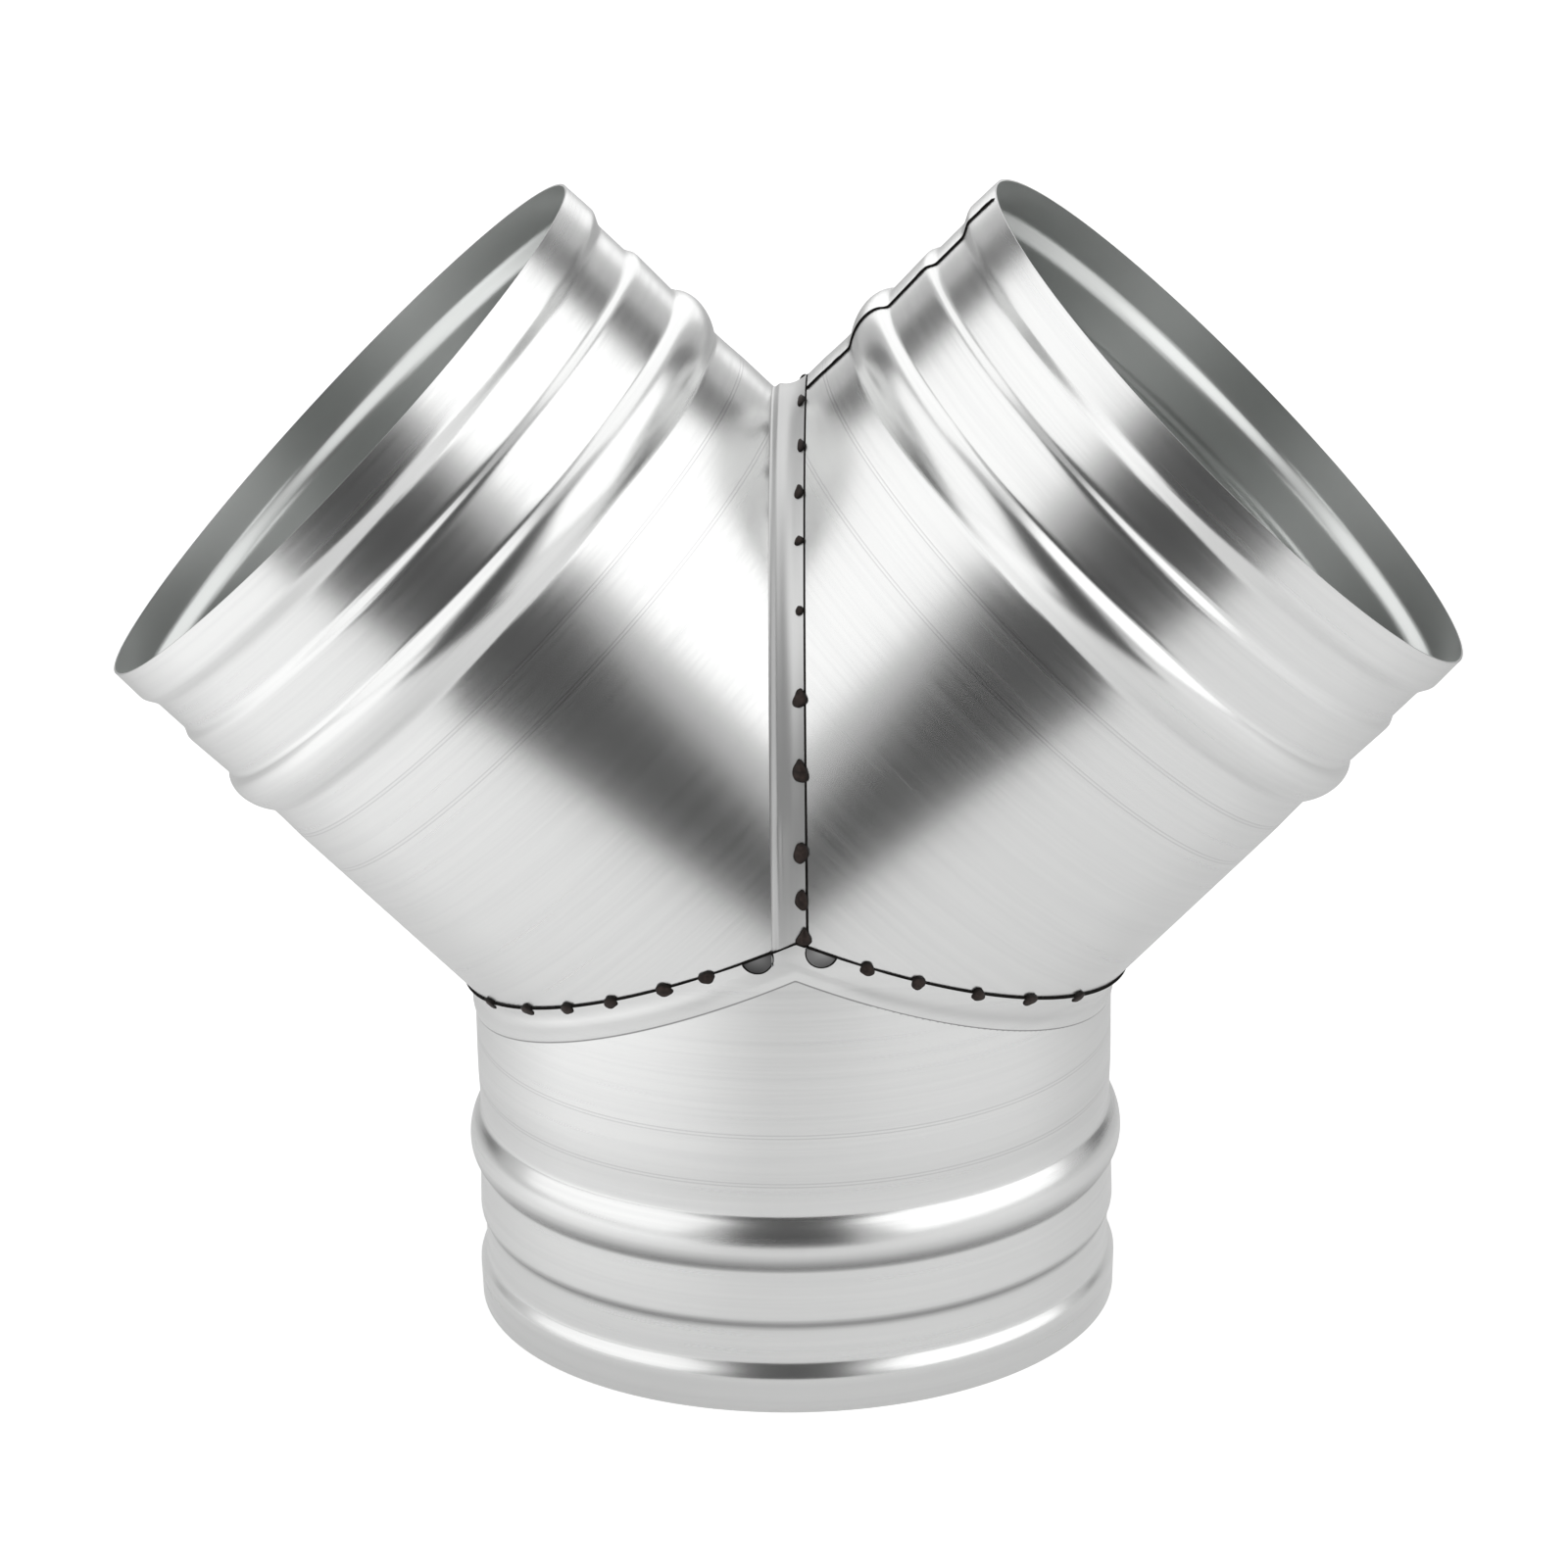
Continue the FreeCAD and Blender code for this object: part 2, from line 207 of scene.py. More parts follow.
def off_axis(x, z, under_mitre):
    """Distance in the XZ plane from the axis of the sleeve that a point belongs to."""
    branch = np.where(x < 0, x, -x) * SIN_LEAN + (z - MEETING_HEIGHT) * COS_LEAN
    return np.where(under_mitre, x, branch)


def bell(value, width):
    """1 at 0, falling off to both sides: e to the power of minus the square of value over width."""
    return np.exp(-(value / width) ** 2)


def normalised(vectors):
    """Vectors brought to a length of 1."""
    return vectors / np.maximum(np.linalg.norm(vectors, axis=-1, keepdims=True), 1e-12)


def column_steps(points, wrap):
    """Differences between neighbours along the first axis, taken round the loop when wrapped."""
    if wrap:
        return np.roll(points, -1, axis=0) - np.roll(points, 1, axis=0)
    return np.gradient(points, axis=0)


def grid_normals(points, wrap):
    """Unit normals of a grid of points: the cross product of its two central differences."""
    return normalised(np.cross(column_steps(points, wrap), np.gradient(points, axis=1)))


def outward_normals(points, wrap, middle):
    """Unit normals of a grid, turned as one so that they point away from a middle place."""
    normals = grid_normals(points, wrap)
    return normals * np.sign(np.sum(normals * (points - middle)))


def loop_faces(columns, rows, wrap):
    """Quads of a grid whose rows close into a loop, and whose columns close too when wrapped."""
    column = np.arange(columns if wrap else columns - 1)[:, None]
    row = np.arange(rows)[None, :]
    next_column = (column + 1) % columns
    next_row = (row + 1) % rows
    corners = [column * rows + row, next_column * rows + row, next_column * rows + next_row,
               column * rows + next_row]
    return np.stack(np.broadcast_arrays(*corners), axis=2).reshape(-1, 4)


def sheet_shell(outer, thickness, wrap, around, along):
    """Closed sheet from its outer grid: the inner grid lies square to it, and the rows run back along it.

    Without wrap, its two end columns get a cap of quads between the outer and the inner row.
    Returns points, faces and the two surface coordinates of each point.
    """
    normals = grid_normals(outer, wrap)
    inner = outer - normals * thickness[..., None]
    points = np.concatenate([outer, inner[:, ::-1]], axis=1)
    columns, rows = points.shape[:2]
    faces = loop_faces(columns, rows, wrap)
    if not wrap:
        row = np.arange(rows // 2 - 1)
        first = np.stack([row, row + 1, rows - 2 - row, rows - 1 - row], axis=1)
        last = first[:, ::-1] + (columns - 1) * rows
        faces = np.concatenate([faces, first, last])
    around = np.concatenate([around, around[:, ::-1]], axis=1)
    along = np.concatenate([along, along[:, ::-1]], axis=1)
    return points.reshape(-1, 3), faces, np.stack([around.ravel(), along.ravel()], axis=1)


def make_piece(name, shells, material, nodes, sharp_angle=50):
    """One object from closed shells of points in millimetres, faces, surface map and a value per point for
    the duller inside and the painted shade.
    """
    point_sets, face_sets, map_sets, inside_and_painted_shade_sets = zip(*shells)
    points = np.concatenate(point_sets) * MM
    offsets = np.cumsum([0] + [len(part) for part in point_sets[:-1]])
    faces = np.concatenate([part + offset for part, offset in zip(face_sets, offsets)])
    corner_map = (np.concatenate(map_sets) * MM)[faces.ravel()].reshape(-1, 4, 2)
    round_about = 2 * math.pi * bpy.context.scene.duct_sheets.sleeve_radius * MM
    behind = corner_map[..., 0] < corner_map[..., 0].max(axis=1, keepdims=True) - round_about / 2
    corner_map[..., 0] += behind * round_about
    mesh = bpy.data.meshes.new(name)
    mesh.vertices.add(len(points))
    mesh.vertices.foreach_set("co", points.ravel())
    mesh.loops.add(faces.size)
    mesh.loops.foreach_set("vertex_index", faces.ravel().astype(np.int32))
    mesh.polygons.add(len(faces))
    mesh.polygons.foreach_set("loop_start", np.arange(0, faces.size, 4, dtype=np.int32))
    layer = mesh.uv_layers.new(name="sheet")
    layer.data.foreach_set("uv", corner_map.ravel())
    inside_and_painted_shade = mesh.attributes.new("inside_and_painted_shade", "FLOAT", "POINT")
    inside_and_painted_shade.data.foreach_set("value", np.concatenate(inside_and_painted_shade_sets))
    mesh.update(calc_edges=True)
    mesh.validate()
    mesh.shade_smooth()
    mesh.set_sharp_from_angle(angle=math.radians(sharp_angle))
    mesh.materials.append(bpy.data.materials[material])
    piece = bpy.data.objects.new(name, mesh)
    bpy.context.scene.collection.objects.link(piece)
    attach(piece, "root")
    if nodes:
        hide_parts(*nodes)


def empty_tree(owner):
    """Node tree of a material or world, without its nodes."""
    owner.use_nodes = True
    owner.node_tree.nodes.clear()
    return owner.node_tree


def add_node(tree, kind, inputs=None, **settings):
    """New node of a kind with its settings, whose inputs take outputs of other nodes or values."""
    node = tree.nodes.new("ShaderNode" + kind)
    for name, value in settings.items():
        setattr(node, name, value)
    for name, source in (inputs or {}).items():
        if isinstance(source, bpy.types.NodeSocket):
            tree.links.new(source, node.inputs[name])
        else:
            node.inputs[name].default_value = source
    return node


def calculated(tree, operation, *values, **settings):
    """Output of a Math node that works on outputs or numbers, in their order."""
    return add_node(tree, "Math", dict(enumerate(values)), operation=operation, **settings).outputs["Value"]


def mixed_with(tree, kind, factor, first, second):
    """Mix of two outputs or values by a factor: kind FLOAT for numbers, RGBA for colours."""
    first_input, output = {"FLOAT": (2, 0), "RGBA": (6, 2)}[kind]
    inputs = {0: factor, first_input: first, first_input + 1: second}
    return add_node(tree, "Mix", inputs, data_type=kind).outputs[output]


def grey(value):
    """Opaque grey."""
    return (value, value, value, 1.0)


def ramp(tree, factor, *stops):
    """Colour read from a factor, through stops that each have a place and a colour."""
    node = add_node(tree, "ValToRGB", {"Fac": factor})
    elements = node.color_ramp.elements
    for element, (place, shade) in zip(elements, (stops[0], stops[-1])):
        element.position = place
        element.color = shade
    for place, shade in stops[1:-1]:
        elements.new(place).color = shade
    return node.outputs["Color"]


def bumped(tree, height, strength, distance):
    """Normal of a skin with an output as its height."""
    inputs = {"Height": height, "Strength": strength, "Distance": distance}
    return add_node(tree, "Bump", inputs).outputs["Normal"]


def map_range(tree, value, low, high, new_low=0.0, new_high=1.0):
    """Value carried over from one range to another, and held at its ends."""
    inputs = {"Value": value, "From Min": low, "From Max": high, "To Min": new_low, "To Max": new_high}
    return add_node(tree, "MapRange", inputs).outputs["Result"]


def sheet_map(tree):
    """The sheet's own surface map, in metres: round the sleeve, and along it from the rim."""
    return add_node(tree, "UVMap", uv_map="sheet").outputs["UV"]


def stretched_noise(tree, scale, detail):
    """Noise on the sheet's own map, stretched by the two scales round and along the sleeve."""
    mapping = add_node(tree, "Mapping", {"Vector": sheet_map(tree), "Scale": (*scale, 1.0)})
    inputs = {"Vector": mapping.outputs["Vector"], "Scale": 1.0, "Detail": detail}
    return add_node(tree, "TexNoise", inputs, noise_dimensions="2D").outputs["Fac"]


def object_noise(tree, scale, detail):
    """Noise on the piece's own coordinates."""
    place = add_node(tree, "TexCoord").outputs["Object"]
    return add_node(tree, "TexNoise", {"Vector": place, "Scale": scale, "Detail": detail}).outputs["Fac"]


def inside_and_painted_shade_of(tree):
    """The piece's value per point for the duller inside and the painted shade, an attribute of its points."""
    return add_node(tree, "Attribute", attribute_name="inside_and_painted_shade").outputs["Fac"]


def end_with(tree, kind, shader, inputs):
    """Lead a kind of shader with its inputs to the end of a tree: kind is Material or World."""
    node = add_node(tree, shader, inputs)
    add_node(tree, "Output" + kind, {"Surface": node.outputs[0]})


def zinc_material(finish):
    """Brushed zinc: fine lines round the sleeve in colour, gloss and bump.

    A piece's value per point makes it duller on the inside, at 1, and paints shade into a crease, at -1.
    """
    tree = empty_tree(bpy.data.materials.new("brushed_zinc"))
    brushed = mixed_with(tree, "FLOAT", 0.4, stretched_noise(tree, (12.0, 1000.0), 2.0),
                         stretched_noise(tree, (7.0, 420.0), 1.5))
    inside_and_painted_shade = inside_and_painted_shade_of(tree)
    # Painted shade: the part of the value below 0, turned into a mix factor.
    shaded = calculated(tree, "MULTIPLY", inside_and_painted_shade, -1.0, use_clamp=True)
    along = add_node(tree, "SeparateXYZ", {"Vector": sheet_map(tree)}).outputs["Y"]
    scribed = 0.0
    for distance in SCRIBED_LINES:
        scribed = calculated(tree, "ADD", calculated(tree, "COMPARE", along, distance, 0.00017), scribed)
    on_fold = calculated(tree, "COMPARE", along, FOLD_MAP, 0.02)
    tint = ramp(tree, brushed, (0.35, (*finish.zinc_dull, 1.0)), (0.6, (*finish.zinc, 1.0)))
    tint = mixed_with(tree, "RGBA", scribed, tint, grey(0.6))
    tint = mixed_with(tree, "RGBA", inside_and_painted_shade, tint, (*finish.inside, 1.0))
    # Painted shade: creases, ring flanks and the fold are mixed towards dark grey.
    tint = mixed_with(tree, "RGBA", shaded, tint, grey(0.3))
    gloss = ramp(tree, brushed, (0.3, grey(finish.roughness + 0.02)), (0.7, grey(finish.roughness - 0.02)))
    gloss = mixed_with(tree, "FLOAT", on_fold, gloss, finish.fold_roughness)
    gloss = mixed_with(tree, "FLOAT", inside_and_painted_shade, gloss, finish.inside_roughness)
    end_with(tree, "Material", "BsdfPrincipled", {
        "Base Color": tint, "Roughness": gloss, "Metallic": 1.0,
        "Normal": bumped(tree, brushed, 0.02, 0.00003)})


def weld_material(finish):
    """Oxidised weld: dark brown scale with a rough, pitted skin, and painted shade that makes it darkest at
    its foot.
    """
    tree = empty_tree(bpy.data.materials.new("oxidised_weld"))
    noise = object_noise(tree, 900.0, 4.0)
    dark = tuple(channel * 0.35 for channel in finish.weld)
    tint = ramp(tree, noise, (0.35, (*dark, 1.0)), (0.65, (*finish.weld, 1.0)))
    # Painted shade: near black at the weld's foot.
    painted_foot_shade = ramp(tree, inside_and_painted_shade_of(tree), (0.25, grey(0.0)), (0.75, grey(1.0)))
    end_with(tree, "Material", "BsdfPrincipled", {
        "Base Color": mixed_with(tree, "RGBA", painted_foot_shade, tint, (0.008, 0.006, 0.005, 1.0)),
        "Roughness": ramp(tree, noise, (0.3, grey(0.45)), (0.7, grey(0.65))),
        "Metallic": 0.1, "Specular IOR Level": 0.2, "Normal": bumped(tree, noise, 0.5, 0.0002)})


def hollow_material(finish):
    """Zinc of the collar's cut-outs: dull, with painted shade that darkens it towards the collar, read from
    the piece's value per point.
    """
    tree = empty_tree(bpy.data.materials.new("painted_shade_hollow"))
    end_with(tree, "Material", "BsdfPrincipled", {
        "Base Color": ramp(tree, inside_and_painted_shade_of(tree), (0.0, grey(0.5)), (1.0, grey(0.12))),
        "Roughness": finish.inside_roughness + 0.1, "Metallic": 1.0})


def edge_material(finish):
    """Cut edge of the sheet and the gap beside it as painted shade: near black, mottled a little."""
    tree = empty_tree(bpy.data.materials.new("painted_shade_edge"))
    noise = object_noise(tree, 700.0, 2.0)
    lighter = tuple(channel * 1.8 for channel in finish.line)
    end_with(tree, "Material", "BsdfPrincipled", {
        "Base Color": ramp(tree, noise, (0.3, (*finish.line, 1.0)), (0.7, (*lighter, 1.0))),
        "Roughness": 0.8, "Specular IOR Level": 0.05})


def branch_frame(side):
    """A branch's axis and its direction to the throat, as vectors in the XZ plane."""
    return np.array([side * SIN_LEAN, 0, COS_LEAN]), np.array([-side * COS_LEAN, 0, SIN_LEAN])


def branch_points(side, radius, angle, along):
    """Points of a branch: out from the axis by a radius at an angle from the throat to the front.

    The last value is the distance from the meeting point along the axis.
    """
    axis, throat = branch_frame(side)
    front = np.array([0, -1.0, 0])
    radius, angle, along = np.broadcast_arrays(radius, angle, along)
    outward = np.cos(angle)[..., None] * throat + np.sin(angle)[..., None] * front
    return MEETING + along[..., None] * axis + radius[..., None] * outward


def bent_path(start, corner, end, reach):
    """Points of a bent line in the XZ plane: straight, a parabola round the corner, straight.

    The parabola is the quadratic curve between points at the reach from the corner on each line.
    """
    def toward(goal):
        line = goal - corner
        length = np.linalg.norm(line, axis=1, keepdims=True)
        return corner + line * np.minimum(reach / np.maximum(length, 1e-9), 0.45)

    before, after = toward(start), toward(end)
    share = np.linspace(0, 1, 4)[:-1]
    parts = [start + (before - start) * t for t in share]
    for t in np.linspace(0, 1, 8)[:-1]:
        parts.append((1 - t) ** 2 * before + 2 * t * (1 - t) * corner + t ** 2 * after)
    parts += [after + (end - after) * t for t in np.linspace(0, 1, 4)]
    return np.stack(parts, axis=1)


def branch_body(sheets, side):
    """Grid of one branch's sheet from its rim to the mitres.

    Each column is one straight line of the sleeve, with the rings' rise added to its radius. It ends
    in the middle plane at the throat, and turns down into the trunk's collar elsewhere.
    """
    radius = sheets.sleeve_radius
    angle = side * np.arange(sheets.columns) / sheets.columns * 2 * math.pi
    ring_radius = radius + ring_rise(sheets, RING_ROWS)[None]
    rings = branch_points(side, ring_radius, angle[:, None], BRANCH_LENGTH - RING_ROWS[None])
    toward_throat = radius * np.cos(angle)
    corner_along = np.where(toward_throat > 0, toward_throat, -toward_throat * TAN_HALF)
    last = rings[:, -1][:, [0, 2]]
    corner = branch_points(side, radius, angle, corner_along)[:, [0, 2]]
    share = rounded_step(-toward_throat / 6)[:, None]
    axis = branch_frame(side)[0][[0, 2]]
    tongue, throat_tongue = 5.0, 0.3
    end = corner + share * np.array([0, -tongue]) - (1 - share) * axis * throat_tongue
    path = bent_path(last, corner, end, 1.2)[:, 1:]
    deep = np.broadcast_to((-radius * np.sin(angle))[:, None], path.shape[:2])
    fold = np.stack([path[..., 0], deep, path[..., 1]], axis=2)
    return np.concatenate([rings, fold], axis=1), angle


def outward_shell(outer, thickness, wrap, around, along, inside_and_painted_shade=None):
    """Closed sheet whose faces point outwards, whichever way its grid runs.

    The value per point for the duller inside and the painted shade is that of its outside, and 1 on its
    inside.
    """
    if inside_and_painted_shade is None:
        inside_and_painted_shade = np.zeros(outer.shape[:2])
    normals = grid_normals(outer, wrap)
    middle = outer.reshape(-1, 3).mean(axis=0)
    if np.sum(normals * (outer - middle)) < 0:
        outer, thickness, inside_and_painted_shade = outer[::-1], thickness[::-1], inside_and_painted_shade[::-1]
        around, along = around[::-1], along[::-1]
    shell = sheet_shell(outer, thickness, wrap, around, along)
    return *shell, np.concatenate([inside_and_painted_shade, np.ones(inside_and_painted_shade.shape)], axis=1).ravel()


def rolled_shell(sheets, outer, angle, lap, inside_and_painted_shade=None):
    """Closed sheet of a sleeve: its surface map is the arc from its lap, and the length along a column."""
    arc = np.mod(angle - lap, 2 * math.pi) * sheets.sleeve_radius
    steps = np.linalg.norm(np.diff(outer, axis=1), axis=2)
    along = np.concatenate([np.zeros((len(outer), 1)), np.cumsum(steps, axis=1)], axis=1)
    around = np.broadcast_to(arc[:, None], along.shape)
    return outward_shell(outer, np.full(along.shape, sheets.sheet - 0.04), True, around, along, inside_and_painted_shade)


def throat_fold(sheets, seams):
    """Grid of the left sheet's fold over the right branch, with one row for each place along X.

    A point's height is the throat's crossing height plus the rounded distance from the middle plane,
    which is rounded more at the crotch. Towards both ends the rows bend to follow the collar's edge.
    """
    radius = sheets.sleeve_radius + sheets.sheet
    foot, above_lip, bend_from = 0.03, 0.05, 18.0
    across = np.concatenate([np.linspace(-seams.fold, seams.fold_ramp - seams.fold, 10),
                             np.linspace(seams.fold_ramp - seams.fold + 0.3, seams.throat_lap, 22)])
    ramped = rounded_step((across + seams.fold) / seams.fold_ramp)
    pressed = seams.fold_pressed * np.clip((across + 0.5) / (seams.throat_lap + 0.5), 0, 1) ** 1.5
    row_radius = (sheets.sleeve_radius + foot + (seams.fold_height - foot) * ramped - pressed)[None]
    lip_height = roof(0.0, seams.left_lip, seams.right_lip) - MEETING_HEIGHT
    lowest = math.acos((lip_height + 0.1) / DIAGONAL / radius)
    bending = math.acos(bend_from / radius)
    turn = np.concatenate([np.linspace(-lowest, -bending, 26)[:-1], np.linspace(-bending, bending, 150),
                           np.linspace(bending, lowest, 26)[1:]])
    toward_throat = row_radius * np.cos(turn)[:, None]
    narrow = rounded_corner(across, seams.crotch_bend)
    filled = (rounded_corner(across, seams.crotch_bend + 2.0) - narrow) * ramped
    near_crotch = bell(turn, 0.35)[:, None]
    straight = MEETING_HEIGHT + DIAGONAL * toward_throat + narrow[None] + near_crotch * filled
    share = rounded_step((np.abs(turn) - bending) / (lowest - bending))[:, None]
    edge = roof(across, seams.left_lip, seams.right_lip)[None] + above_lip
    height = straight * (1 - share) + edge * share
    axis_gap = off_axis(across[None], height, False)
    deep_curve = np.sqrt(np.maximum(row_radius ** 2 - axis_gap ** 2, 0))
    deep_line = row_radius * np.abs(np.sin(turn))[:, None]
    low_enough = rounded_step((np.abs(turn) - bending + 0.1) / 0.1)[:, None]
    deep = np.sign(turn)[:, None] * (deep_line * (1 - low_enough) + deep_curve * low_enough)
    outer = np.stack([np.broadcast_to(across, height.shape), -deep, height], axis=2)
    thickness = np.broadcast_to(0.02 + (seams.fold_height - 0.06) * ramped - pressed, height.shape)
    share = np.clip((across + seams.fold) / seams.fold_ramp, 0, 1)
    # Painted shade: dark along the fold's ramp and at its first row, weaker over the rest of the fold and
    # strongest near the crotch.
    painted_fold_shade = 0.16 + 0.34 * bell(turn, 0.62)[:, None]
    painted_ramp_shade = -0.7 * np.sin(math.pi * share)[None] - 0.7 * (share == 0)[None]
    inside_and_painted_shade = painted_ramp_shade - painted_fold_shade * rounded_step(share * 2 - 1)[None]
    around = np.broadcast_to((turn * radius)[:, None], height.shape)
    along = np.broadcast_to(across + FOLD_MAP / MM, height.shape)
    return outer, thickness, around, along, inside_and_painted_shade


def notches(seams):
    """The two cut-outs: place along X, and directions in the XZ plane along the mitre and down from it."""
    for place, slope in ((seams.left_notch, TAN_HALF), (seams.right_notch, -TAN_HALF)):
        unit = np.array([1.0, slope]) / math.hypot(1.0, slope)
        yield place, unit, np.array([unit[1], -unit[0]])


def collar_edge(seams, front):
    """Edge of the trunk's collar near the middle, as places along X and heights.

    The edge lies on the lip planes. In front it dips in two half circles, centred on it.
    """
    def on_lip(x):
        return np.stack([x, roof(x, seams.left_lip, seams.right_lip)], axis=1)

    first = -FAN_REACH - seams.left_lip / COS_HALF * SIN_LEAN
    last = FAN_REACH + seams.right_lip / COS_HALF * SIN_LEAN
    if not front:
        return on_lip(np.linspace(first, last, 60))
    parts = []
    start = first
    for place, unit, down in notches(seams):
        centre = on_lip(np.array([place]))[0]
        turn = np.linspace(math.pi, 0, 29)[:, None]
        dip = centre + seams.notch_radius * (np.cos(turn) * unit + np.sin(turn) * down)
        parts += [on_lip(np.linspace(start, dip[0, 0], 14)[:-1]), dip]
        start = dip[-1, 0]
    parts.append(on_lip(np.linspace(start, last, 14)[1:]))
    return np.concatenate(parts)


def trunk_painted_shade(outer, rise, first):
    """Painted shade on the trunk's outside: dark where a ring rises with the distance from the rim, on the
    rim band, and at the joggle.

    A weaker painted shade above the joggle is a bell over the height that fades out at the middle and at the
    sides.
    """
    inside_and_painted_shade = np.zeros(outer.shape[:2])
    ring_shade, steepest, rim_shade, rim_width = 0.85, 0.45, 0.08, 9
    slope = np.clip(np.gradient(rise, RING_ROWS) / steepest, 0, 1)
    inside_and_painted_shade[:, :len(RING_ROWS)] = -ring_shade * slope - rim_shade * (RING_ROWS < rim_width)
    above = outer[:, first:, 2] - outer[:, first, 2][:, None]
    place = np.abs(outer[:, first, 0])[:, None]
    from_middle, from_side = rounded_step((place - 9) / 12), rounded_step((76 - place) / 22)
    inside_and_painted_shade[:, first:] = -0.42 * bell(above - 3.3, 1.5) * from_middle * from_side
    # Painted shade: a dark line over the first rows of the joggle.
    inside_and_painted_shade[:, first:first + 3] = -1.0
    return inside_and_painted_shade


def trunk_grid(sheets, seams):
    """Grid of the trunk's sheet: rings, body, crease of the collar, fold on the mitres, and edge.

    Round the sides each column is a straight line of the trunk, then one of the branch. Near the
    middle, in front and at the back, the columns fan out to the collar's edge.
    """
    radius = sheets.sleeve_radius
    wide = radius + sheets.sheet
    front, back = collar_edge(seams, True), collar_edge(seams, False)

    def foot(edge):
        steps = np.linalg.norm(np.diff(edge, axis=0), axis=1)
        share = np.concatenate([[0.0], np.cumsum(steps)]) / steps.sum()
        return -FAN_REACH + 2 * FAN_REACH * share

    side_turn, side_columns = math.asin(FAN_REACH / wide), 110
    side = np.linspace(side_turn, math.pi - side_turn, side_columns + 2)[1:-1]
    angle = np.concatenate([np.arcsin(foot(front) / wide), side,
                            math.pi - np.arcsin(foot(back)[::-1] / wide), side + math.pi])
    central = np.repeat([1.0, 0.0, 1.0, 0.0], [len(front), len(side), len(back), len(side)])
    sine, cosine = np.sin(angle)[:, None], np.cos(angle)[:, None]

    def round_points(row_radius, height):
        row_radius, height, _ = np.broadcast_arrays(row_radius, height, sine)
        return np.stack([row_radius * sine, -row_radius * cosine, height], axis=2)

    rise = ring_rise(sheets, RING_ROWS)
    ring_part = round_points((radius + rise)[None], RING_ROWS[None])
    crease = roof(wide * np.sin(angle), -seams.left_crease, -seams.right_crease)[:, None]
    lower_joggle, upper_joggle = 0.25, 2.6
    share = np.concatenate([np.linspace(0, 1, 6)[1:-1], [0.97, 0.994]])[None]
    last = RING_ROWS[-1]
    body_part = round_points(radius, last + (crease - lower_joggle - last) * share)
    step = np.linspace(0, 1, 12)[None] ** 1.5
    joggle_radius = radius + sheets.sheet * (1 - (1 - step) ** 2)
    joggle_part = round_points(joggle_radius, crease - lower_joggle + (lower_joggle + upper_joggle) * step)

    start = joggle_part[:, -1][:, [0, 2]]
    x = wide * np.sin(angle)
    corner = np.stack([x, roof(x, 0.0, 0.0)], axis=1)
    hand = np.sign(np.where(np.abs(x) < 1e-9, 1.0, x))[:, None]
    lip = np.where(hand < 0, seams.left_lip, seams.right_lip) / COS_HALF
    end = corner + lip * np.concatenate([hand * SIN_LEAN, np.full_like(hand, COS_LEAN)], axis=1)
    end[:len(front)] = front
    behind = len(front) + len(side)
    end[behind:behind + len(back)] = back[::-1]
    climb = np.maximum(end[:, 1] - start[:, 1], 1e-6)
    share = np.clip((corner[:, 1] - start[:, 1]) / climb, 0.3, 0.7)[:, None]
    fanned = start + (end - start) * share
    weight = (rounded_step((FAN_REACH - np.abs(x)) / 8) * central)[:, None]
    corner = corner * (1 - weight) + fanned * weight
    path = bent_path(start, corner, end, 1.4)[:, 1:]
    under_mitre = path[..., 1] < roof(path[..., 0], 0.0, 0.0)
    gap = off_axis(path[..., 0], path[..., 1], under_mitre)
    curve = -np.sign(cosine) * np.sqrt(np.maximum(wide ** 2 - gap ** 2, 0))
    line = np.broadcast_to(-wide * cosine, curve.shape)
    deep = np.where(weight > 0, curve * weight + line * (1 - weight), line)
    collar_part = np.stack([path[..., 0], deep, path[..., 1]], axis=2)
    outer = np.concatenate([ring_part, body_part, joggle_part, collar_part], axis=1)
    return outer, angle, trunk_painted_shade(outer, rise, ring_part.shape[1] + body_part.shape[1])


def painted_shade_line(path, outward, width, height, closed):
    """Thin line of painted shade along a path: an oval section of eight points carried along it.

    The section lies square to the path, wide across the surface and low above it, and an open
    line narrows to a point at each end.
    """
    sideways = normalised(np.cross(normalised(column_steps(path, closed)), outward))
    sides = 8
    turn = np.arange(sides) / sides * 2 * math.pi
    size = np.ones(len(path))
    if not closed:
        size[[0, -1]] = 0.05
    section = (width / 2 * np.cos(turn))[None, :, None] * sideways[:, None]
    section = section + (height / 2 * np.sin(turn))[None, :, None] * outward[:, None]
    points = path[:, None] + section * size[:, None, None]
    faces = loop_faces(len(path), sides, closed)
    if not closed:
        first = np.array([[0, 1, 2, 3], [0, 3, 4, 7], [4, 5, 6, 7]])
        faces = np.concatenate([faces, first, first[:, ::-1] + (len(path) - 1) * sides])
    flat = points.reshape(-1, 3)
    return flat, faces, np.zeros((len(flat), 2)), np.zeros(len(flat))


